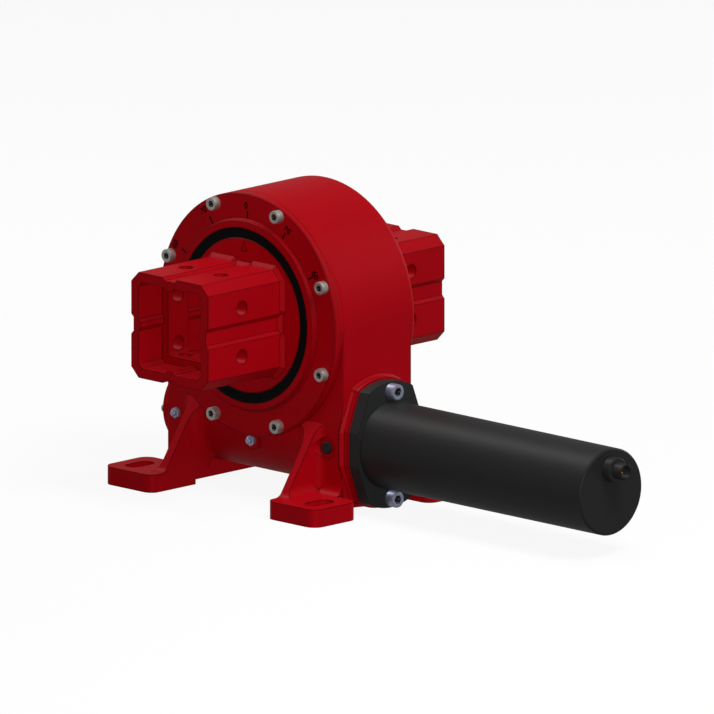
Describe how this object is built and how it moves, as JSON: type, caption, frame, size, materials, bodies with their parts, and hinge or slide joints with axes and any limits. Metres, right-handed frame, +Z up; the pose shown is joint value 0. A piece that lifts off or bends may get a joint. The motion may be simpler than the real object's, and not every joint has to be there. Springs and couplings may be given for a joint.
{
  "type": "solar slew drive",
  "caption": "Worm gear slew drive for a solar tracker: cast housing on slotted feet, square couplers front and rear, DC gear motor on the worm.",
  "frame": {"origin": "floor plane, centre of the four foot slots, straight below the slewing axis", "axes": "+X along the slewing axis to the front coupler, +Y along the worm axis to the motor, +Z up"},
  "size_m": [0.325, 0.6073, 0.3017],
  "materials": {
    "cast_red": "semi-gloss red paint over cast iron",
    "seal_black": "matt black nitrile rubber",
    "paper_gasket": "pressed fibre gasket",
    "zinc_steel": "zinc-plated steel",
    "bronze": "bearing bronze, turned",
    "wheel_iron": "machined ductile iron",
    "hard_steel": "ground hardened steel",
    "motor_black": "satin black paint",
    "core_alloy": "sealed gear and motor internals",
    "connector_black": "moulded black plastic",
    "pin_brass": "plated contact pins in a plastic insert"
  },
  "bodies": {
    "frame": {"housing": "cast_red", "front_cover": "cast_red", "front_cover_gasket": "paper_gasket", "front_cover_screws": "zinc_steel", "front_hub_seal": "seal_black", "rear_hub_seal": "seal_black", "front_hub_bush": "bronze", "rear_hub_bush": "bronze", "worm_bearing_cups": "hard_steel", "worm_end_cap": "cast_red", "worm_end_cap_screws": "zinc_steel", "worm_snap_ring": "hard_steel", "worm_shaft_seal": "seal_black", "motor_flange": "motor_black", "motor_flange_bolts": "zinc_steel", "motor_can": "motor_black", "motor_core": "core_alloy", "motor_connector_base": "connector_black", "motor_connector_barrel": "connector_black", "motor_connector_pins": "pin_brass", "grease_nipples": "zinc_steel", "vent_plug": "connector_black"},
    "output": {"front_coupler_hub": "cast_red", "rear_coupler_hub": "cast_red", "front_hub_bolts": "zinc_steel", "rear_hub_bolts": "zinc_steel", "worm_wheel": "wheel_iron"},
    "worm": {"worm_shaft": "hard_steel", "worm_bearing_cones": "hard_steel", "motor_output_shaft": "hard_steel", "motor_shaft_key": "hard_steel"},
    "worm_rollers": {"worm_bearing_rollers": "hard_steel"}
  },
  "joints": [
    {"name": "slew", "type": "hinge", "parent": "frame", "child": "output", "pos_m": [0, 0, 0.1817], "axis": [1, 0, 0], "continuous": true},
    {"name": "worm_spin", "type": "hinge", "parent": "frame", "child": "worm", "pos_m": [0, 0, 0.0659], "axis": [0, 1, 0], "continuous": true},
    {"name": "roller_spin", "type": "hinge", "parent": "frame", "child": "worm_rollers", "pos_m": [0, 0, 0.0659], "axis": [0, 1, 0], "continuous": true}
  ],
  "couplings": [
    {"joint": "worm_spin", "follows": "slew", "ratio": -61},
    {"joint": "roller_spin", "follows": "slew", "ratio": -26.2}
  ]
}
